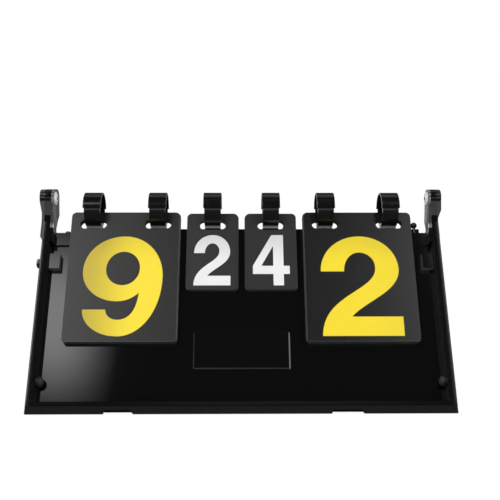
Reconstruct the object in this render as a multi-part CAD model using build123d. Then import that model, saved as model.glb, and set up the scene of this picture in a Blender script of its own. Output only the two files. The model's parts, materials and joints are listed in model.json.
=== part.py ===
from build123d import *
import os
from math import asin, cos, radians, sin, tan

os.makedirs("parts", exist_ok=True)

# Tabletop flip scoreboard: two shallow trays riveted at the top of their arms,
# opened into an A-frame, with score cards that hang on six closed rings.
# Millimetres. X runs along the width, +Z is up, and the viewer stands at -Y.
# The origin is on the table, at the middle of the open frame.

# --- driving dimensions: frame ---
tray_width = 385.0           # outside the side walls
tilt = 24.2                  # each tray leans back from the vertical, degrees
tray_depth = 15.0            # closing plane to the back of the tray
floor_thick = 2.5
side_rim = 7.0               # width of the side and bottom walls
top_rim = 8.6                # side walls' upper end to the cavity
arm_reach = 37.4             # pivot to the upper end of the side walls
tray_length = 171.4          # top of the corner walls to the bottom wall's face
closing_gap = 0.15           # each rim stays this far from the closing plane
corner_width = 25.2          # outside of the tray to the end of the corner walls
corner_face = 9.7            # the corner walls' face lies this far behind the rim
corner_rim = 10.1            # width of the side walls beside the corner walls
corner_top = 33.0            # pivot to the upper edge of the front corner walls
rebate_width = 3.4           # lowered outer part of the rim
rebate_drop = 1.0
lip_reach = 3.8              # closing lip below the bottom wall
lip_thick = 2.2
notch_depth = 3.3
notch_slope = 3.0
notches = [(-122.8, 23.2), (80.4, 25.8)]    # left end and width of each lip notch
foot_cut = 0.6               # height taken off the bottom edge for the rest face
corner_round = 2.0

# --- driving dimensions: arms and pivots ---
outer_arm_thick = 6.7        # front tray's arm
inner_arm_thick = 2.2        # rear tray's arm
arm_gap = 0.4
arm_clear = 0.3              # arms to the closing plane and to the middle plane
head_radius = 8.9
neck_place = 19.0            # pivot to the narrowest place of the arm
neck_bulge = 1.5             # the neck stands this far before the rim
neck_depth = 10.3
neck_length = 6.0
web_start = 26.0             # pivot to where an arm widens into the side wall
web_end = 33.5
rib_high = 2.0               # rib along the edge of the left inner arm
rib_wide = 1.9
pad_high = {-1: 4.2, 1: 3.2}         # raised outside of the head, left and right
pad_end = {-1: 6.5, 1: 14.0}         # pivot to the end of its level face
pad_fall = {-1: 10.5, 1: 8.0}        # length of the slope below it
side_plate_high = {-1: 2.0, 1: 0.0}  # doubling on the outside of the arm
side_plate_over = 3.6                # it reaches this far below the arm
rivet_radius = 3.0
rivet_running = 0.05
rivet_bore = 1.6
rivet_bore_deep = 2.4
rivet_roll_radius = 4.2
rivet_roll_thick = 0.8
rivet_head_radius = 4.6
rivet_head_thick = 1.2
washer_radius = 6.6
washer_thick = 1.0
washer_gap = 0.1

# --- driving dimensions: rings ---
ring_drop = 11.8             # ring centre below the pivot
ring_inner = 13.4
ring_thick = 2.4
ring_width = 15.5
cap_thick = 1.6
cap_width = 17.5
cap_start = 6.0              # angles are from the front of the ring, upwards
cap_sweep = 168.0
ring_gap_start = 26.0        # the base ring is open under the cap
ring_gap_sweep = 128.0
foot_thick = 2.4
foot_length = 13.5
foot_front = 2.3             # the foot block reaches this far before the floor
foot_width = 15.5
foot_slot_play = 2.2
screw_radius = 1.25
screw_head_radius = 2.3
screw_head_deep = 1.2
screw_first = 5.0            # tongue's edge to the first screw
screw_pitch = 5.5
tongue_top = 27.7            # pivot to the upper edge of the front tray's tongue
tongue_ends = (26.5, 17.0)   # outside of the tray to the tongue, left and right
stop_gap = 0.3               # rear tray's tongue to the front tray's back

# --- driving dimensions: cards ---
large_card_high = 132.2
small_card = (50.0, 80.0)
small_card_middle = 28.5
card_gap = 6.8               # large card to small card
slot_side = 21.5             # large card's side edge to the middle of a slot
card_top = 13.2              # pivot to the upper edge of the cards
card_round = 4.6
card_foot_round = 3.0        # at the card's lower corners
leaf_thick = 0.4
leaf_pitch = 0.45
leaf_fan = 0.1               # each leaf lies this far beside the next
front_card_gap = 0.35        # front card's back to the stack
large_leaves = 15            # in the stack, behind the front card
small_leaves = 9
card_floor_gap = 0.3
card_gate_gap = 1.0          # cards to the corner walls
slot_length = 26.0
slot_height = 9.4
slot_edge = 8.0              # card's upper edge to the slot
print_thick = 0.12
large_numeral = (76.0, 101.0)
small_numeral = (35.4, 52.5)
large_numeral_margin = 5.2   # card's lower edge to the numeral
small_numeral_margin = 4.2

# --- driving dimensions: small parts ---
boss_size = (11.0, 15.0)
boss_drop = 11.0             # cavity's upper end to the boss
boss_high = 7.5
stop_pin_radius = 2.5
stop_knob_radius = 4.7
stop_knob_high = 4.2
stop_pin_drop = 9.0          # boss's upper end to the pin
stop_pin_in = 9.0
buffer_rise = 19.3           # cavity's lower end to the buffer
buffer_radius = 5.3
buffer_high = 6.6
buffer_collar = 2.0
panel_size = (90.0, 36.0)
panel_rise = 31.8            # cavity's lower end to the panel
panel_thick = 1.2
panel_round = 2.0
peg_side = 22.1              # outside of the tray to the pegs
peg_deep = 4.0               # length of a peg's end in its hole
stem_gap = 0.05
ball_peg_radius = 3.1
ball_stem_radius = 1.3
flat_peg_radius = 2.6
flat_peg_high = 2.0

# --- derived ---
side = tray_width / 2
lean = radians(tilt)
wall_end = arm_reach + tray_length
pivot_high = wall_end * cos(lean) + tray_depth * sin(lean) - foot_cut
floor_face = tray_depth - floor_thick
inner_side = side - side_rim
cavity_top = arm_reach + top_rim
cavity_end = wall_end - side_rim
boss_top = cavity_top + boss_drop
stop_pin_place = boss_top + stop_pin_drop
buffer_place = cavity_end - buffer_rise
panel_top = cavity_end - panel_rise - panel_size[1]
peg_place = side - peg_side
corner_in = side - corner_rim
gate_half = side - corner_width
outer_arm_in = side - outer_arm_thick
inner_arm_out = outer_arm_in - arm_gap
inner_arm_in = inner_arm_out - inner_arm_thick
washer_out = inner_arm_in - washer_gap
washer_in = washer_out - washer_thick
pad_out = {way: side + pad_high[way] for way in (-1, 1)}
plate_out = {way: side + side_plate_high[way] for way in (-1, 1)}
ring_outer = ring_inner + ring_thick
cap_outer = ring_outer + cap_thick
ring_along = ring_drop * cos(lean)          # ring centre in the tray's own frame
ring_deep = ring_drop * sin(lean)
rear_tongue_top = tray_depth / tan(lean) + stop_gap / sin(2 * lean)
foot_end = tongue_top + foot_length
large_card_in = small_card_middle + small_card[0] / 2 + card_gap
large_card_out = gate_half - card_gate_gap
large_card = (large_card_out - large_card_in, large_card_high)
large_card_middle = (large_card_in + large_card_out) / 2
large_rings = [large_card_in + slot_side, large_card_out - slot_side]
right_rings = [small_card_middle, *large_rings]
ring_places = [-x for x in reversed(right_rings)] + right_rings

written = {}


def save(name, shape):
    """Writes one node, as a group where it has several solids."""
    shape.label = name
    export_step(shape, f"parts/{name}.step")
    written[name] = shape


def block(x0, x1, deep0, deep1, along0, along1):
    """A box in the tray's frame: X, depth behind the rim, distance from the pivot."""
    box = Box(x1 - x0, deep1 - deep0, along1 - along0)
    return Pos((x0 + x1) / 2, (deep0 + deep1) / 2, -(along0 + along1) / 2) * box


def bar(radius, x0, x1, deep=0.0, along=0.0):
    """A round bar along X in the tray's frame."""
    tube = Rot(0, 90, 0) * Cylinder(radius, abs(x1 - x0))
    return Pos((x0 + x1) / 2, deep, -along) * tube


def side_plate(points, x0, x1):
    """A plate with a (depth, along) outline, between two values of X."""
    outline = Polyline(*[(deep, -along) for deep, along in points], close=True)
    plate = extrude(make_face(Plane.YZ * outline), abs(x1 - x0), dir=(1, 0, 0))
    return Pos(min(x0, x1), 0, 0) * plate


def to_front(shape):
    """Moves a shape from the tray's frame to the front tray's place."""
    return Pos(0, 0, pivot_high) * Rot(-tilt, 0, 0) * shape


def to_rear(shape):
    return Rot(0, 0, 180) * to_front(shape)


def group(shapes):
    return Compound(children=list(shapes))


# --- trays ---


def middle_deep(along):
    """Depth at which a tray at rest comes near the plane between the two trays."""
    return along * tan(lean) - arm_clear


def arm_side(x0, x1):
    """Side view of an arm with its round head, as a prism from x0 to x1."""
    flat = head_radius * 0.8
    shoulder = head_radius * 0.5
    neck_end = neck_place + neck_length
    full = (tray_depth + arm_clear) / tan(lean)
    points = [(-flat, shoulder), (-neck_bulge, neck_place), (arm_clear, neck_end), (arm_clear, cavity_top),
              (tray_depth, cavity_top), (tray_depth, full), (middle_deep(neck_end - 1), neck_end - 1),
              (neck_depth, neck_place), (flat, shoulder)]
    return side_plate(points, x0, x1) + bar(head_radius, x0, x1)


def arm_front(points, way):
    """Front view of an arm with (x, along) corners, as a prism through its depth."""
    outline = Polyline(*[(way * x, -along) for x, along in points], close=True)
    prism = extrude(make_face(Plane.XZ * outline), 2 * tray_depth, dir=(0, 1, 0))
    return Pos(0, -tray_depth, 0) * prism


def outer_arm(way):
    """Front tray's arm: raised outside of the head, widened inwards at the foot."""
    top = -head_radius
    pad = pad_out[way]
    plate = plate_out[way]
    level = head_radius * 0.54
    plate_end = arm_reach + side_plate_over
    high = pad_high[way]
    points = [(outer_arm_in, top), (outer_arm_in, web_start), (corner_in, web_end), (corner_in, cavity_top),
              (side - 1, cavity_top), (side - 1, plate_end + side_plate_high[way] + 1), (plate, plate_end),
              (plate, pad_end[way] + pad_fall[way]), (pad, pad_end[way]), (pad, -level),
              (pad - high * 0.25, -head_radius * 0.83), (pad - high, top)]
    return arm_side(corner_in * way, (pad + 1) * way) & arm_front(points, way)


def inner_arm(way):
    """Rear tray's arm, which widens outwards into the side wall."""
    top = -head_radius
    out = side - rebate_width
    near = inner_side
    points = [(inner_arm_in, top), (inner_arm_in, neck_place + neck_length), (near, web_end),
              (near, cavity_top), (out, cavity_top), (out, arm_reach - 1), (inner_arm_out, web_start),
              (inner_arm_out, top)]
    return arm_side(inner_arm_in * way, side * way) & arm_front(points, way)


def inner_arm_rib(way):
    """Raised rib along the rim's side of the rear tray's arm."""
    top = inner_arm_in - rib_high
    plate = arm_side(top * way, inner_arm_in * way)
    end = neck_place + neck_length
    points = [(top, -head_radius), (top, neck_place), (inner_arm_in, end), (inner_arm_in, -head_radius)]
    return (plate & arm_front(points, way)) - Pos(0, rib_wide, 0) * plate


def lip():
    plate = block(-side, side, rebate_drop, rebate_drop + lip_thick, wall_end - 1, wall_end + lip_reach)
    top = wall_end + lip_reach - notch_depth
    end = wall_end + lip_reach + 1
    grow = notch_slope * (end - top) / notch_depth
    for start, width in notches:
        corners = [(start, -end), (start, -top), (start + width, -top), (start + width + grow, -end)]
        cutter = extrude(make_face(Plane.XZ * Polyline(*corners, close=True)), tray_depth, dir=(0, 1, 0))
        plate -= cutter
    return plate


def shell(top, corner_end):
    """A tray without its arms: the tongue ends at top and the corner walls at corner_end."""
    body = block(-side, side, closing_gap, tray_depth, arm_reach, wall_end)
    upright = [e for e in body.edges().filter_by(Axis.Y)]
    body = fillet(upright, corner_round)
    body -= block(-inner_side, inner_side, -1, floor_face, cavity_top, cavity_end)
    body -= block(-corner_in, corner_in, -1, corner_face, arm_reach - 1, cavity_top + 1)
    body -= block(-gate_half, gate_half, -1, floor_face, arm_reach - 1, cavity_top + 1)
    rim = block(-side - 1, side + 1, -1, rebate_drop, arm_reach + rebate_width, wall_end + 1)
    kept = block(-side + rebate_width, side - rebate_width, -2, rebate_drop + 1, arm_reach - 1,
                 wall_end - rebate_width)
    body -= rim - kept
    corner_out = inner_arm_in - rib_high
    for x0, x1 in ((-corner_out, -gate_half), (gate_half, corner_out)):
        body += block(x0, x1, corner_face, tray_depth, corner_end, cavity_top)
    body += block(tongue_ends[0] - side, side - tongue_ends[1], floor_face, tray_depth, top, cavity_top)
    body += lip()
    for way in (-1, 1):
        near = inner_side - boss_size[0] if way > 0 else -inner_side
        body += block(near, near + boss_size[0], floor_face - boss_high, floor_face, boss_top,
                      boss_top + boss_size[1])
    return body


def flat_foot(body):
    """Cuts the bottom edge level, for the face that rests on the table."""
    slab = Pos(0, 0, -wall_end / 2) * Box(3 * side, 3 * wall_end, wall_end)
    return body - slab


def front_tray():
    body = shell(tongue_top, corner_top)
    for way in (-1, 1):
        body += outer_arm(way)
        body -= bar(rivet_radius, way * (corner_in - 1), way * (pad_out[way] + 1))
    for x in ring_places:
        for along in screw_alongs():
            body -= screw(x, along, 0.0)
    body -= bar(stop_pin_radius, -side - 1, -inner_side + stop_pin_in, pin_deep(), stop_pin_place)
    body -= peg_end(peg_place, ball_peg_deep())
    body -= peg_end(-peg_place, flat_peg_deep())
    return flat_foot(to_front(body))


def peg_end(x, deep):
    """The end of a peg that sits in the corner wall."""
    return upright_bar(ball_stem_radius, x, deep, corner_top, corner_top + peg_deep)


def ball_peg_deep():
    return floor_face - stem_gap - ball_stem_radius


def flat_peg_deep():
    return (corner_face + tray_depth) / 2


def upright_bar(radius, x, deep, along0, along1):
    tube = Cylinder(radius, along1 - along0)
    return Pos(x, deep, -(along0 + along1) / 2) * tube


def rear_tray():
    body = shell(rear_tongue_top, rear_tongue_top)
    for way in (-1, 1):
        body += inner_arm(way)
        if way > 0:
            body += inner_arm_rib(way)
        body -= bar(rivet_radius + rivet_running, way * (inner_arm_in - 1), way * (inner_arm_out + 1))
    for x in ring_places:
        half = foot_width / 2 + foot_slot_play
        body -= block(-x - half, -x + half, floor_face - 1, tray_depth + 1, rear_tongue_top - 1,
                      foot_end + foot_slot_play)
    return flat_foot(to_rear(body))


# --- pivots ---


def rivet(way):
    shank = bar(rivet_radius, way * washer_in, way * pad_out[way])
    roll = bar(rivet_roll_radius, way * (washer_in - rivet_roll_thick), way * washer_in)
    head = bar(rivet_head_radius, way * pad_out[way], way * (pad_out[way] + rivet_head_thick))
    round_end = head.edges().filter_by(GeomType.CIRCLE).sort_by(Axis.X)[-1 if way > 0 else 0]
    head = fillet(round_end, rivet_head_thick * 0.6)
    rim = roll.edges().filter_by(GeomType.CIRCLE).sort_by(Axis.X)[0 if way > 0 else -1]
    roll = fillet(rim, rivet_roll_thick * 0.6)
    start = washer_in - rivet_roll_thick - 1
    bore = bar(rivet_bore, way * start, way * (start + 1 + rivet_bore_deep))
    return to_front(shank + roll + head - bore)


def washer(way):
    disc = bar(washer_radius, way * washer_in, way * washer_out)
    rim = disc.edges().filter_by(GeomType.CIRCLE).sort_by(Axis.X)[0 if way > 0 else -1]
    disc = fillet(rim, washer_thick * 0.5)
    return to_front(disc - bar(rivet_radius, way * (washer_in - 1), way * (washer_out + 1)))


# --- rings ---


def band(inner, outer, start, sweep, width):
    """Part of a ring about the X axis, angles from the front (-Y) upwards."""
    def at(radius, angle):
        turn = radians(angle)
        return (-radius * cos(turn), radius * sin(turn))
    end = start + sweep
    middle = start + sweep / 2
    lines = [ThreePointArc(at(outer, start), at(outer, middle), at(outer, end)),
             Line(at(outer, end), at(inner, end)),
             ThreePointArc(at(inner, end), at(inner, middle), at(inner, start)),
             Line(at(inner, start), at(outer, start))]
    face = make_face([Plane.YZ * line for line in lines])
    return Pos(-width / 2, 0, 0) * extrude(face, width, dir=(1, 0, 0))


def ring_place(x):
    return Pos(x, 0, pivot_high - ring_drop)


def screw_alongs():
    return [tongue_top + screw_first, tongue_top + screw_first + screw_pitch]


def screw(x, along, tip):
    """Countersunk screw through the floor into the ring's foot; tip shortens it."""
    end = tray_depth + foot_thick - tip
    length = end - floor_face
    shank = Cylinder(screw_radius, length)
    head = Cone(screw_radius, screw_head_radius, screw_head_deep)
    shank = Pos(x, floor_face + length / 2, -along) * Rot(90, 0, 0) * shank
    head = Pos(x, floor_face + screw_head_deep / 2, -along) * Rot(90, 0, 0) * head
    return shank + head


def ring_base(x):
    """Lower ring with the foot that is screwed behind the tongue."""
    sweep = 360 - ring_gap_sweep
    loop = ring_place(x) * band(ring_inner, ring_outer, ring_gap_start + ring_gap_sweep, sweep, ring_width)
    front = floor_face - foot_front
    back = tray_depth + foot_thick
    outline = [(front, ring_along + ring_inner * 0.7), (back, tongue_top - 3.2), (back, foot_end),
               (tray_depth, foot_end), (tray_depth, tongue_top), (front, tongue_top)]
    foot = side_plate(outline, x - foot_width / 2, x + foot_width / 2)
    foot -= bar(ring_inner + ring_thick / 2, x - foot_width, x + foot_width, ring_deep, ring_along)
    for along in screw_alongs():
        foot -= screw(x, along, 0.0)
    return loop + to_front(foot)


def ring_cap(x):
    cap = band(ring_outer, cap_outer, cap_start, cap_sweep, cap_width)
    rims = cap.edges().filter_by(GeomType.CIRCLE)
    rims = [e for e in rims if e.radius > cap_outer - 0.1]
    return ring_place(x) * fillet(rims, cap_thick * 0.4)


# --- cards ---


def leaf(size, middle, deep, shift=0.0):
    """One card in the tray's frame, its front face at the given depth."""
    wide, tall = size
    outline = Rectangle(wide, tall)
    outline = fillet(outline.vertices().sort_by(Axis.Y)[:2], card_foot_round)
    outline = fillet(outline.vertices().sort_by(Axis.Y)[-2:], card_round)
    for x in ring_places:
        if abs(x - middle) < wide / 2:
            place = Pos(x - middle, tall / 2 - slot_edge - slot_height / 2)
            outline -= place * SlotOverall(slot_length, slot_height)
    plate = extrude(outline, leaf_thick)
    plate = Rot(90, 0, 0) * plate
    return Pos(middle + shift, deep + leaf_thick, -(card_top + tall / 2)) * plate


def stack_deep(index):
    """Depth of a stacked leaf's front face; leaf 0 lies nearest the floor."""
    return floor_face - card_floor_gap - leaf_thick - index * leaf_pitch


def front_deep(count):
    """Depth of the front card's face, over a stack of so many leaves."""
    return stack_deep(count - 1) - front_card_gap - leaf_thick


def stack(size, middle, count):
    fan = leaf_fan if middle < 0 else -leaf_fan
    leaves = [leaf(size, middle, stack_deep(i), fan * (i % 7)) for i in range(count)]
    return group([to_front(one) for one in leaves])


def quarter(start, end, upright_first, bow=0.56):
    """A quarter of an ellipse-like curve that leaves start upright or level."""
    (x0, y0), (x1, y1) = start, end
    if upright_first:
        return Bezier(start, (x0, y0 + bow * (y1 - y0)), (x1 + bow * (x0 - x1), y1), end)
    return Bezier(start, (x0 + bow * (x1 - x0), y0), (x1, y1 + bow * (y0 - y1)), end)


def scaled(points, size):
    return {name: (x * size[0], y * size[1]) for name, (x, y) in points.items()}


def nine(size):
    p = scaled(dict(tail_left=(-0.474, 0.259), tail_right=(-0.19, 0.259), foot=(-0.03, 0.0),
                    right=(0.5, 0.588), top=(0.008, 1.0), left=(-0.5, 0.641), bowl=(-0.057, 0.34),
                    spike=(0.212, 0.425), spike_bow=(0.1, 0.34), spike_fall=(0.19, 0.24),
                    bend_bow=(0.1, 0.159), bend=(-0.041, 0.159)), size)
    outer = [Line(p["tail_right"], p["tail_left"]), quarter(p["tail_left"], p["foot"], True),
             quarter(p["foot"], p["right"], False), quarter(p["right"], p["top"], True),
             quarter(p["top"], p["left"], False), quarter(p["left"], p["bowl"], True),
             Bezier(p["bowl"], p["spike_bow"], p["spike"]),
             Bezier(p["spike"], p["spike_fall"], p["bend_bow"], p["bend"]),
             quarter(p["bend"], p["tail_right"], False)]
    c = scaled(dict(top=(0.004, 0.84), right=(0.211, 0.672), foot=(0.0, 0.5), left=(-0.213, 0.662)), size)
    hole = [quarter(c["top"], c["right"], False), quarter(c["right"], c["foot"], True),
            quarter(c["foot"], c["left"], False), quarter(c["left"], c["top"], True)]
    return make_face(outer) - make_face(hole)


def two(size):
    p = scaled(dict(base_left=(-0.5, 0.0), base_right=(0.5, 0.0), bar_right=(0.5, 0.187),
                    bar_left=(-0.128, 0.187), rise=(0.055, 0.345), swell=(0.49, 0.435),
                    right=(0.49, 0.66), top=(0.01, 1.0), left=(-0.495, 0.637), hook=(-0.2, 0.637),
                    inner_top=(0.0, 0.832), inner_right=(0.195, 0.68), fall=(0.195, 0.57),
                    lean=(0.075, 0.51), middle=(-0.13, 0.41), sweep=(-0.345, 0.3), drop=(-0.49, 0.2)), size)
    lines = [Line(p["base_left"], p["base_right"]), Line(p["base_right"], p["bar_right"]),
             Line(p["bar_right"], p["bar_left"]), Bezier(p["bar_left"], p["rise"], p["swell"], p["right"]),
             quarter(p["right"], p["top"], True), quarter(p["top"], p["left"], False),
             Line(p["left"], p["hook"]), quarter(p["hook"], p["inner_top"], True),
             quarter(p["inner_top"], p["inner_right"], False),
             Bezier(p["inner_right"], p["fall"], p["lean"], p["middle"]),
             Bezier(p["middle"], p["sweep"], p["drop"], p["base_left"])]
    return make_face(lines)


def four(size):
    stem, bar_low, bar_high = (0.055, 0.335), 0.222, 0.383
    outer = [(0.012, 1.0), (stem[1], 1.0), (stem[1], bar_high), (0.5, bar_high), (0.5, bar_low),
             (stem[1], bar_low), (stem[1], 0.0), (stem[0], 0.0), (stem[0], bar_low), (-0.5, bar_low),
             (-0.5, bar_high)]
    hole = [(stem[0], 0.78), (stem[0], bar_high), (-0.27, bar_high)]
    faces = []
    for corners in (outer, hole):
        faces.append(make_face(Polyline(*[(x * size[0], y * size[1]) for x, y in corners], close=True)))
    return faces[0] - faces[1]


def numeral(shape, margin, size, middle, deep):
    """The raised number on the face of a card."""
    foot = card_top + size[1] - margin
    ink = Rot(90, 0, 0) * extrude(shape, print_thick)
    return to_front(Pos(middle, deep, -foot) * ink)


# --- small parts ---


def pin_deep():
    return floor_face - boss_high / 2


def stop_pin():
    shank = bar(stop_pin_radius, -side, -inner_side + stop_pin_in, pin_deep(), stop_pin_place)
    knob = bar(stop_knob_radius, -side - stop_knob_high, -side, pin_deep(), stop_pin_place)
    rim = knob.edges().filter_by(GeomType.CIRCLE).sort_by(Axis.X)[0]
    return to_front(shank + fillet(rim, stop_knob_high * 0.4))


def buffer_dome(way):
    """Rubber dome on the inside of a side wall."""
    high = buffer_high - buffer_collar
    dome_radius = (buffer_radius ** 2 + high ** 2) / (2 * high)
    turn = asin(buffer_radius / dome_radius) / 2
    middle = (buffer_high - dome_radius * (1 - cos(turn)), dome_radius * sin(turn))
    outline = [Polyline((buffer_high, 0), (0, 0), (0, buffer_radius), (buffer_collar, buffer_radius)),
               ThreePointArc((buffer_collar, buffer_radius), middle, (buffer_high, 0))]
    dome = revolve(make_face(outline), Axis.X)
    if way > 0:
        dome = Rot(0, 0, 180) * dome
    return Pos(way * inner_side, floor_face / 2, -buffer_place) * dome


def label_panel():
    plate = extrude(RectangleRounded(*panel_size, panel_round), panel_thick)
    rim = plate.faces().sort_by(Axis.Z)[-1].edges()
    plate = Rot(90, 0, 0) * chamfer(rim, panel_thick * 0.4)
    return to_front(Pos(0, floor_face, -(panel_top + panel_size[1] / 2)) * plate)


def ball_peg():
    """Stem on the corner wall with a ball just above the tongue."""
    middle = tongue_top - ball_peg_radius
    stem = upright_bar(ball_stem_radius, peg_place, ball_peg_deep(), middle, corner_top)
    ball = Pos(peg_place, ball_peg_deep(), -middle) * Sphere(ball_peg_radius)
    return to_front(stem + ball + peg_end(peg_place, ball_peg_deep()))


def flat_peg():
    deep = flat_peg_deep()
    button = upright_bar(flat_peg_radius, -peg_place, deep, corner_top - flat_peg_high, corner_top)
    rim = button.edges().filter_by(GeomType.CIRCLE).sort_by(Axis.Z)[-1]
    button = fillet(rim, flat_peg_high * 0.4)
    return to_front(button + peg_end(-peg_place, deep))


# --- the object ---

save("front_tray", front_tray())
save("rear_tray", rear_tray())
for word, way in (("left", -1), ("right", 1)):
    save(f"{word}_pivot_rivet", rivet(way))
    save(f"{word}_pivot_washer", washer(way))

for number, place in enumerate(ring_places, 1):
    save(f"ring_{number}_base", ring_base(place))
    save(f"ring_{number}_cap", ring_cap(place))
save("ring_screws", group([to_front(screw(x, along, 0.0)) for x in ring_places for along in screw_alongs()]))

boards = [("home_score", large_card, -large_card_middle, large_leaves, nine, large_numeral,
           large_numeral_margin),
          ("guest_score", large_card, large_card_middle, large_leaves, two, large_numeral,
           large_numeral_margin),
          ("home_set", small_card, -small_card_middle, small_leaves, two, small_numeral,
           small_numeral_margin),
          ("guest_set", small_card, small_card_middle, small_leaves, four, small_numeral,
           small_numeral_margin)]
for word, size, middle, count, digit, digit_size, margin in boards:
    face = front_deep(count)
    save(f"{word}_card", to_front(leaf(size, middle, face)))
    save(f"{word}_numeral", numeral(digit(digit_size), margin, size, middle, face))
    save(f"{word}_stack", stack(size, middle, count))

save("label_panel", label_panel())
save("stop_pin", stop_pin())
save("front_buffers", group([to_front(buffer_dome(way)) for way in (-1, 1)]))
save("rear_buffers", group([to_rear(buffer_dome(way)) for way in (-1, 1)]))
save("ball_peg", ball_peg())
save("flat_peg", flat_peg())

box = group(list(written.values())).bounding_box()
print("size", box.size, "low", box.min, "high", box.max)
print("pivot", pivot_high, "ring centre", pivot_high - ring_drop, "rear fold", 360 - 2 * tilt)
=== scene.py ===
import json
import math

import bmesh
import bpy
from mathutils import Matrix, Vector

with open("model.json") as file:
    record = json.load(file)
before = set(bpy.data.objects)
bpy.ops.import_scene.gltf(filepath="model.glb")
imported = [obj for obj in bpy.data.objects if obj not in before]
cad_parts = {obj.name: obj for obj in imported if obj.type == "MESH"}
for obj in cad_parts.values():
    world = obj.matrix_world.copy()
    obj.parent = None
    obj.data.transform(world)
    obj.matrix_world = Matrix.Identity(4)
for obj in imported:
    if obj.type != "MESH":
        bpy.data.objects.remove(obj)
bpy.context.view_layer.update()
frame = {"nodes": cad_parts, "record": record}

# Looks of the tabletop flip scoreboard. Metres, in the CAD frame.

# --- places that the finishes follow ---

LEAN = math.radians(24.2)          # each tray's slope from the vertical
FACE = (0.0, -math.cos(LEAN), math.sin(LEAN))     # outward from the front tray's floor
PIVOT_HIGH = 0.196

# Across a tray, from its middle
SIDE = 0.1925                      # outside of the side walls
WALL_IN = 0.1855                   # inner faces of the side walls
STEP_IN = SIDE - 0.0034            # start of the lowered outer part of the rim
ARM_IN = 0.1785                    # clear of the pegs, just inside the rear arms
BLOCK_IN = WALL_IN - 0.011         # inner sides of the two small blocks
CARD_SIDE = 0.0603                 # inner sides of the score cards
LABEL_ENDS = (-0.0442, 0.0437)     # edge lines of the label panel, along X

# Down a tray, from the pivot
ARM_END = 0.03125                  # the arms widen into the side walls below it
WALL_TOP = 0.0345                  # upper end of the side walls' inner faces
BLOCK_TOP = 0.057
BLOCK_FOOT = 0.072
CARD_FOOT = 0.1454                 # the score cards' lower edge
LABEL_FOOT = 0.1696                # the label panel's lower edge
FOOT_RIM = 0.2011                  # start of the bottom wall's rim
FOOT_STEP = 0.2054                 # start of its lowered outer part

# Behind the rim
RIM_DEEP = 0.0028                  # the rim and its step lie before it
FLOOR_DEEP = 0.0125

RING_FOOT_TOP = 0.169              # height of the upper edges of the ring feet
# The dark disc of painted shade on each rivet's inner end has this radius
RIVET_BORE = 0.001775              # a little wider than the bore in a rivet's inner end
RIVET_INSIDE = 0.1855              # the inner ends of the rivets are nearer to the middle

MICRON = 0.000001
IOR = 1.5                          # of all the plastics and inks
DEGREES = 57.3                     # in a radian


# --- shader helpers ---


class Shade:
    """One output of a material's nodes, in sums that add Math nodes."""

    def __init__(self, nodes, socket):
        self.nodes = nodes
        self.socket = socket

    def math(self, operation, *others):
        values = dict(enumerate((self, *others)))
        return self.nodes.node("ShaderNodeMath", {"operation": operation}, values)

    def __add__(self, other):
        return self.math("ADD", other)

    __radd__ = __add__

    def __mul__(self, other):
        return self.math("MULTIPLY", other)

    def __sub__(self, other):
        return self.math("SUBTRACT", other)

    def __rsub__(self, other):
        return self.nodes.node("ShaderNodeMath", {"operation": "SUBTRACT"}, {0: other, 1: self})


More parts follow.
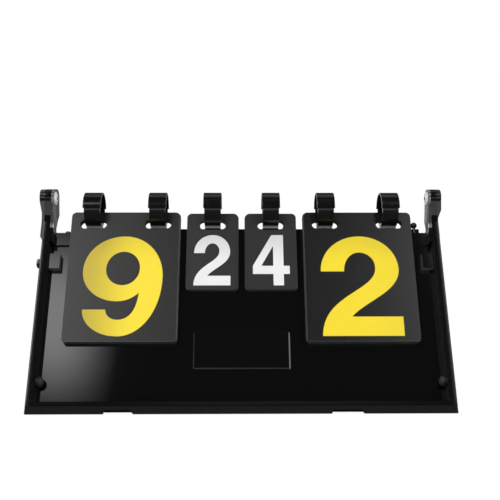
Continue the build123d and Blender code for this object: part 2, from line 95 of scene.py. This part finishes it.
class Nodes:
    """The node tree of a material or of the world."""

    def __init__(self, owner):
        owner.use_nodes = True
        self.tree = owner.node_tree
        self.tree.nodes.clear()

    def node(self, kind, settings=None, values=None, output=0):
        """Adds a node, with its settings first and then its sockets' values or links."""
        made = self.tree.nodes.new(kind)
        for key, value in (settings or {}).items():
            setattr(made, key, value)
        for key, value in (values or {}).items():
            if isinstance(value, Shade):
                self.tree.links.new(value.socket, made.inputs[key])
            else:
                made.inputs[key].default_value = value
        return Shade(self, made.outputs[output]) if made.outputs else None

    def coordinates(self, kind="Object"):
        return self.node("ShaderNodeTexCoord", output=kind)

    def place(self, scale=(1, 1, 1), turn=(0, 0, 0), move=(0, 0, 0)):
        """Object coordinates through a mapping."""
        values = {"Vector": self.coordinates(), "Scale": scale, "Rotation": turn, "Location": move}
        return self.node("ShaderNodeMapping", {}, values)

    def noise(self, size, detail=4.0, rough=0.55, stretch=(1, 1, 1), turn=(0, 0, 0)):
        """Noise whose lumps are about so many metres across."""
        values = {"Vector": self.place(stretch, turn), "Scale": 1 / size, "Detail": detail,
                  "Roughness": rough}
        return self.node("ShaderNodeTexNoise", {}, values)

    def between(self, value, low, high, to_low=0.0, to_high=1.0):
        """Maps a range of values to another, smoothly and held at its ends."""
        values = {"Value": value, "From Min": low, "From Max": high, "To Min": to_low, "To Max": to_high}
        return self.node("ShaderNodeMapRange", {"interpolation_type": "SMOOTHSTEP"}, values)

    def past(self, value, edge, soft):
        """1 where a value is above an edge, which is so wide."""
        return self.between(value, edge - soft / 2, edge + soft / 2)

    def short_of(self, value, edge, soft):
        """1 where a value is below an edge, which is so wide."""
        return self.between(value, edge + soft / 2, edge - soft / 2)

    def blend(self, mask, first, second):
        """Two colours mixed by a mask."""
        return self.node("ShaderNodeMix", {"data_type": "RGBA"}, {0: mask, 6: first, 7: second}, 2)

    def vector_math(self, operation, values, output=0):
        return self.node("ShaderNodeVectorMath", {"operation": operation}, values, output)

    def bump(self, height):
        """Relief from a height in metres."""
        return self.node("ShaderNodeBump", {}, {"Height": height, "Distance": 1.0, "Strength": 1.0})

    def axes(self, kind="Object"):
        """The three parts of a kind of coordinates."""
        spot = self.coordinates(kind)
        return [self.node("ShaderNodeSeparateXYZ", {}, {"Vector": spot}, i) for i in range(3)]

    def tray_place(self):
        """Distance from the middle, depth behind the rim and distance from the pivot, in either tray."""
        x, y, z = self.axes()
        away = y.math("ABSOLUTE")
        drop = PIVOT_HIGH - z
        depth = drop * math.sin(LEAN) - away * math.cos(LEAN)
        along = drop * math.cos(LEAN) + away * math.sin(LEAN)
        return x.math("ABSOLUTE"), depth, along

    def facing(self):
        """1 on faces that look out of a tray, as its floor and its rims do."""
        _, y, z = self.axes("Normal")
        return y.math("ABSOLUTE") * math.cos(LEAN) + z * math.sin(LEAN)

    def surface(self, tint, rough, relief, **more):
        values = {"Base Color": tint, "Roughness": rough, "Normal": self.bump(relief), **more}
        shader = self.node("ShaderNodeBsdfPrincipled", {}, values)
        self.node("ShaderNodeOutputMaterial", {}, {"Surface": shader})


def grey(level, warm=0.0):
    return (level * (1 + warm), level, level * (1 - warm), 1)


def finish_for(name):
    material = bpy.data.materials.new(name)
    return material, Nodes(material)


# --- finishes ---


def case_gloss():
    """Polished black moulding: duller inner walls, inner arm faces painted pale grey as a painted
    reflection, block sides painted paler as painted light, dust and hairline scratches.
    """
    material, n = finish_for("case_gloss")
    out, depth, along = n.tray_place()
    flow = n.noise(0.12, 3, 0.5)
    peel = n.noise(0.006, 2, 0.4)
    smear = n.between(n.noise(0.045, 5, 0.6, (1, 0.5, 0.4)), 0.45, 0.75)
    scratch = n.between(n.noise(0.0012, 2, 0.5, (0.04, 1, 1), (0.4, 0.2, 0.9)), 0.7, 0.78)
    dust = n.between(n.noise(0.0016, 3, 0.6), 0.72, 0.84)

    facing = n.facing()
    rim = n.short_of(depth, RIM_DEEP, 0.0012) * n.past(facing, 0.975, 0.03)
    foot = n.past(along, FOOT_RIM, 0.0006)
    foot_step = n.past(along, FOOT_STEP, 0.0004)
    side_step = n.past(out, STEP_IN + 0.0003, 0.0004) * (1.0 - foot_step)
    step = (side_step + foot_step * 0.6).math("MINIMUM", 1.0)
    sideways = n.axes("Normal")[0].math("ABSOLUTE")
    wall = n.past(sideways, 0.875, 0.15) * n.short_of(out, WALL_IN + 0.0035, 0.002)
    wall = wall * n.past(along, WALL_TOP, 0.003)
    sheen_arm = n.short_of(along, ARM_END, 0.0025) * n.past(out, ARM_IN, 0.001)
    sheen_arm = sheen_arm * n.short_of(out, WALL_IN + 0.0003, 0.0002)
    block = n.past(out, BLOCK_IN - 0.0003, 0.0004) * n.short_of(out, WALL_IN - 0.0003, 0.0002)
    block = block * n.past(along, BLOCK_TOP - 0.00025, 0.0003)
    block = block * n.short_of(along, BLOCK_FOOT + 0.00025, 0.0003)
    block_side_light = block * n.short_of(depth, FLOOR_DEEP - 0.0002, 0.0002) * n.short_of(facing, 0.8, 0.2)

    tint = n.blend(dust * 0.25, grey(0.0032), grey(0.012))
    # Painted reflection: the inner faces of the arms are painted pale grey, mottled by the smears
    tint = n.blend(sheen_arm * (smear * 0.3 + 0.7), tint, grey(0.24))
    tint = n.blend(rim * step, tint, grey(0.016))
    # Painted light: the side faces of the two small blocks are painted pale grey instead of black
    tint = n.blend(block_side_light * 0.8, tint, grey(0.12))
    rough = smear * 0.02 + scratch * 0.05 + dust * 0.08 + rim * 0.1 + wall * 0.6 + sheen_arm * 0.35 + 0.045
    # Slopes that turn the rims towards the bright or the dark parts of the studio
    tilt = foot * (1.0 - foot_step) * along * 0.26 + (1.0 - foot) * out * 0.15 - foot_step * along * 0.12
    rounding = (out - (SIDE - 0.0013)).math("MAXIMUM", 0.0)
    relief = flow * (40 * MICRON) + peel * (1.2 * MICRON) - scratch * (2 * MICRON)
    relief = relief + rim * tilt - rounding * rounding * 350
    n.surface(tint, rough, relief, IOR=IOR)
    return material


def label_gloss():
    """The label panel: polished black, with painted highlights along its ends and foot, brightest at the
    right end.
    """
    material, n = finish_for("label_gloss")
    x, _, _ = n.axes()
    _, _, along = n.tray_place()
    peel = n.noise(0.004, 3, 0.5)
    dust = n.between(n.noise(0.0014, 3, 0.6), 0.72, 0.84)
    left = n.short_of(x, LABEL_ENDS[0], 0.0002)
    right = n.past(x, LABEL_ENDS[1], 0.0002)
    foot = n.past(along, LABEL_FOOT - 0.0013, 0.0002)
    tint = n.blend(dust * 0.3, grey(0.0034), grey(0.012))
    # Painted highlight: the foot edge and both end edges are painted paler, the right end much paler, as
    # lines of reflected light
    tint = n.blend(foot, tint, grey(0.006))
    tint = n.blend(left, tint, grey(0.022))
    tint = n.blend(right, tint, grey(0.14))
    rough = dust * 0.1 + (left + right + foot).math("MINIMUM", 1.0) * 0.3 + 0.06
    n.surface(tint, rough, peel * (2 * MICRON), IOR=IOR)
    return material


def ring_gloss():
    """Black moulded rings with fine draw lines round them, and front faces of their feet painted pale grey
    as a painted highlight.
    """
    material, n = finish_for("ring_gloss")
    _, y, z = n.axes()
    foot = n.past(n.facing(), 0.96, 0.04) * n.short_of(z, RING_FOOT_TOP, 0.0004) * n.past(y, -0.004, 0.001)
    lines = n.noise(0.0009, 3, 0.5, (1, 0.05, 0.05))
    peel = n.noise(0.003, 3, 0.5)
    worn = n.between(n.noise(0.006, 4, 0.6), 0.55, 0.8)
    tint = n.blend(worn * 0.5, grey(0.004), grey(0.012))
    # Painted highlight: the front faces of the ring feet, seen in the card slots, are painted pale grey
    tint = n.blend(foot, tint, grey(0.42))
    rough = worn * 0.1 + lines * 0.04 + 0.13
    n.surface(tint, rough, lines * (12 * MICRON) + peel * (20 * MICRON), IOR=IOR)
    return material


def card_satin(name, dark, pale, base_rough, border_highlight_weight=0.0):
    """Charcoal sheet plastic with a fine grain; its cut edges, and by a weight its inner and lower
    borders, are painted paler as painted highlights.
    """
    material, n = finish_for(name)
    out, _, along = n.tray_place()
    inner = n.short_of(out, CARD_SIDE + 0.00075, 0.0003)
    lower = n.past(along, CARD_FOOT - 0.00075, 0.0003)
    border = inner.math("MAXIMUM", lower * 0.6)
    flat = n.vector_math("DOT_PRODUCT", {0: n.coordinates("Normal"), 1: FACE}, 1)
    cut_edge_highlight = n.short_of(flat.math("ABSOLUTE"), 0.84, 0.28)
    grain = n.noise(0.0006, 3, 0.6)
    cloud = n.noise(0.05, 4, 0.55)
    rub = n.between(n.noise(0.014, 5, 0.65, (1, 0.4, 0.4)), 0.58, 0.82)
    face = n.blend(cloud * 0.6 + rub * 0.4, grey(dark, 0.01), grey(pale, 0.01))
    # Painted highlight: the cut edges and the inner and lower borders are painted paler grey
    tint = n.blend(cut_edge_highlight.math("MAXIMUM", border * border_highlight_weight), face, grey(0.05))
    n.surface(tint, grain * 0.06 + rub * 0.05 + base_rough, grain * (10 * MICRON), IOR=IOR)
    return material


def print_ink(name, light, shade, worn, base_rough, top_shade):
    """Thick screen print: slight mottling, a faint squeegee grain, with painted shade making it darker at
    its top and outer side.
    """
    material, n = finish_for(name)
    x, _, z = n.axes()
    mottle = n.noise(0.03, 4, 0.55)
    grain = n.noise(0.0008, 3, 0.6, (1, 0.5, 0.5))
    speck = n.between(n.noise(0.0022, 3, 0.6), 0.72, 0.8)
    # Painted shade: towards the outer sides and the top, the ink is blended to the darker colour given as
    # worn, which stands for shade, not wear
    left = n.short_of(x + (mottle - 0.5) * 0.01, -0.125, 0.05)
    right = n.past(x, 0.135, 0.05)
    top = n.past(z, 0.1465, 0.033)
    painted_shade = (left + right * 0.15 + top * top_shade).math("MINIMUM", 1.0)
    tint = n.blend(n.between(mottle, 0.35, 0.7), light, shade)
    tint = n.blend(painted_shade, tint, worn)
    tint = n.blend(speck * 0.12, tint, grey(0.3))
    n.surface(tint, grain * 0.08 + base_rough, grain * (15 * MICRON), IOR=IOR)
    return material


def turned_steel():
    """Bright zinc-plated steel with turning marks round the pivot axis, and painted shade in and round the
    bores of the rivets' inner ends.
    """
    material, n = finish_for("turned_steel")
    out, _, _ = n.tray_place()
    across = n.vector_math("MULTIPLY", {0: n.place(move=(0, 0, -PIVOT_HIGH)), 1: (0, 1, 1)})
    radius = n.vector_math("LENGTH", {0: across}, 1)
    marks = (radius * 9000).math("SINE") * 0.5 + 0.5
    cloud = n.noise(0.003, 4, 0.6)
    bore_shade = n.short_of(radius, RIVET_BORE, 0.00025) * n.short_of(out, RIVET_INSIDE, 0.001)
    tint = n.blend(cloud, grey(0.96, 0.005), grey(0.9, 0.01))
    # Painted shade: a dark disc on the bore of each rivet's inner end
    tint = n.blend(bore_shade, tint, grey(0.05))
    rough = cloud * 0.1 + marks * 0.03 + 0.36
    n.surface(tint, rough, marks * (0.8 * MICRON) + cloud * (2 * MICRON), Metallic=0.15)
    return material


def buffer_rubber():
    """Black rubber, paler grey towards the tip of each dome."""
    material, n = finish_for("buffer_rubber")
    out, _, _ = n.tray_place()
    grain = n.noise(0.0007, 4, 0.65)
    bloom = n.between(n.noise(0.004, 4, 0.6), 0.4, 0.75)
    tip = n.short_of(out, WALL_IN - 0.0035, 0.003)
    tint = n.blend(tip * (bloom * 0.25 + 0.75), grey(0.004), grey(0.035))
    n.surface(tint, grain * 0.2 + 0.5, grain * (40 * MICRON))
    return material


def dress(names, material):
    for name in names:
        slots = frame["nodes"][name].data.materials
        if not slots:
            slots.append(material)
        for index in range(len(slots)):
            slots[index] = material


slot_names = {piece["node"]: piece["material_slot"] for piece in frame["record"]["subparts"]}


def nodes_in(slot, word=""):
    return [name for name in frame["nodes"] if slot_names.get(name) == slot and word in name]


yellow = (0.92, 0.715, 0.018, 1)
deep_yellow = (0.9, 0.695, 0.018, 1)
shaded_yellow = (0.5, 0.385, 0.016, 1)

dress(nodes_in("case_plastic"), case_gloss())
dress(nodes_in("panel_plastic"), label_gloss())
dress(nodes_in("ring_plastic"), ring_gloss())
dress(nodes_in("card_plastic", "home_score"), card_satin("home_card", 0.007, 0.01, 0.3, 0.9))
dress(nodes_in("card_plastic", "guest_score"), card_satin("guest_card", 0.006, 0.008, 0.22, 0.9))
dress(nodes_in("card_plastic", "set"), card_satin("set_card", 0.014, 0.018, 0.3))
# The third colour of each print is its painted shade
dress(nodes_in("yellow_print"), print_ink("yellow_print", yellow, deep_yellow, shaded_yellow, 0.3, 0.4))
dress(nodes_in("white_print"), print_ink("white_print", grey(0.84), grey(0.81), grey(0.6), 0.32, 0.8))
dress(nodes_in("bright_steel"), turned_steel())
dress(nodes_in("rubber"), buffer_rubber())


# --- studio ---


def plain_floor():
    """Pale table whose colour fades into the background, with a soft shadow left on it."""
    mesh = bpy.data.meshes.new("table_top")
    made = bmesh.new()
    bmesh.ops.create_grid(made, x_segments=2, y_segments=2, size=12.0)
    made.to_mesh(mesh)
    made.free()
    floor = bpy.data.objects.new("table_top", mesh)
    bpy.context.collection.objects.link(floor)
    material, n = finish_for("table_white")
    seen = n.node("ShaderNodeLightPath", output="Is Camera Ray")
    mirrored = n.node("ShaderNodeLightPath", output="Is Glossy Ray")
    matt = n.node("ShaderNodeBsdfDiffuse", {}, {"Color": grey(0.86)})
    dim = n.node("ShaderNodeBsdfDiffuse", {}, {"Color": grey(0.14)})
    white = n.node("ShaderNodeEmission", {}, {"Color": grey(1.0), "Strength": 1.1})
    table = n.node("ShaderNodeMixShader", {}, {0: mirrored, 1: matt, 2: dim})
    mixed = n.node("ShaderNodeMixShader", {}, {0: seen * 0.86, 1: table, 2: white})
    n.node("ShaderNodeOutputMaterial", {}, {"Surface": mixed})
    mesh.materials.append(material)


def patch(n, azimuth, elevation, across, upward):
    """A soft-edged bright patch of the studio: each side is (end, softness) in degrees."""
    mask = None
    for angle, sides in ((azimuth, across), (elevation, upward)):
        for (end, soft), way in zip(sides, (1, -1)):
            edge = n.between(angle, end - soft * way, end + soft * way)
            mask = edge if mask is None else mask * edge
    return mask


def background(n, strength):
    return n.node("ShaderNodeBackground", {}, {"Color": grey(1.0), "Strength": strength})


def studio():
    """Bright panels round a dark room for glossy rays, an even glow for the rest, white for the camera."""
    world = bpy.data.worlds.new("studio")
    bpy.context.scene.world = world
    n = Nodes(world)
    x, y, z = n.axes("Generated")
    ahead = x.math("ARCTAN2", y * -1) * DEGREES       # 0 towards the viewer, 90 towards +X
    back = x.math("ARCTAN2", y) * DEGREES             # 0 behind the object
    rise = z.math("ARCSINE") * DEGREES
    window = patch(n, ahead, rise, ((-23, 3), (-11.2, 0.2)), ((37.2, 3.2), (45.6, 3.2)))
    glow = window * n.between(ahead, -10.6, -16.5, 0.1, 4.6) + 0.03
    panels = [
        (ahead, ((-50, 6), (-24, 3)), ((30, 5), (52, 5)), 7.0),     # left, further out
        (ahead, ((21, 2.5), (40, 6)), ((34, 5), (50, 5)), 5.0),     # right
        (ahead, ((-14, 7), (26, 12)), ((62, 3), (76, 5)), 0.15),    # overhead, in front
        (ahead, ((-60, 15), (60, 15)), ((0, 2), (11, 3)), 1.0),     # low, in front
        (back, ((-70, 20), (70, 20)), ((58, 8), (85, 5)), 0.5),     # overhead, behind
        (back, ((-80, 10), (0, 8)), ((-4, 3), (26, 8)), 0.9),       # behind, left
        (back, ((0, 8), (80, 10)), ((-4, 3), (26, 8)), 0.42),       # behind, right
        (ahead, ((-125, 10), (-62, 8)), ((0, 6), (40, 8)), 1.2),    # far left
        (ahead, ((62, 8), (125, 10)), ((0, 6), (40, 8)), 0.9),      # far right
    ]
    for angle, across, upward, strength in panels:
        glow = patch(n, angle, rise, across, upward) * strength + glow
    glossy = n.node("ShaderNodeLightPath", output="Is Glossy Ray")
    camera_ray = n.node("ShaderNodeLightPath", output="Is Camera Ray")
    lit = n.node("ShaderNodeMixShader", {}, {0: glossy, 1: background(n, 0.5), 2: background(n, glow)})
    seen = n.node("ShaderNodeMixShader", {}, {0: camera_ray, 1: lit, 2: background(n, 1.0)})
    n.node("ShaderNodeOutputWorld", {}, {"Surface": seen})


def lamp(name, place, size, watts):
    """A soft lamp that looks at the middle of the object."""
    aim = Vector((0, 0, 0.1))
    data = bpy.data.lights.new(name, "AREA")
    data.shape = "RECTANGLE"
    data.size, data.size_y = size
    data.energy = watts
    made = bpy.data.objects.new(name, data)
    made.location = place
    made.rotation_euler = (aim - Vector(place)).to_track_quat("-Z", "Y").to_euler()
    made.visible_glossy = False
    bpy.context.collection.objects.link(made)


def camera(place, lens, down, right):
    """A camera in front, turned so many degrees down and to the right."""
    data = bpy.data.cameras.new("camera")
    data.lens = lens
    data.sensor_width = 36.0
    data.clip_start = 0.01
    data.clip_end = 100
    made = bpy.data.objects.new("camera", data)
    made.location = place
    made.rotation_euler = (math.radians(90 - down), 0, math.radians(-right))
    bpy.context.collection.objects.link(made)
    bpy.context.scene.camera = made


plain_floor()
studio()
lamp("key", place=(-0.5, -1.5, 1.5), size=(1.4, 1.0), watts=17)
lamp("fill", place=(1.0, -1.2, 0.8), size=(1.0, 1.0), watts=6)
camera(place=(-0.0029, -0.8025, 0.1583), lens=58.45, down=0.95, right=0.80)
bpy.context.scene.view_settings.view_transform = "Standard"
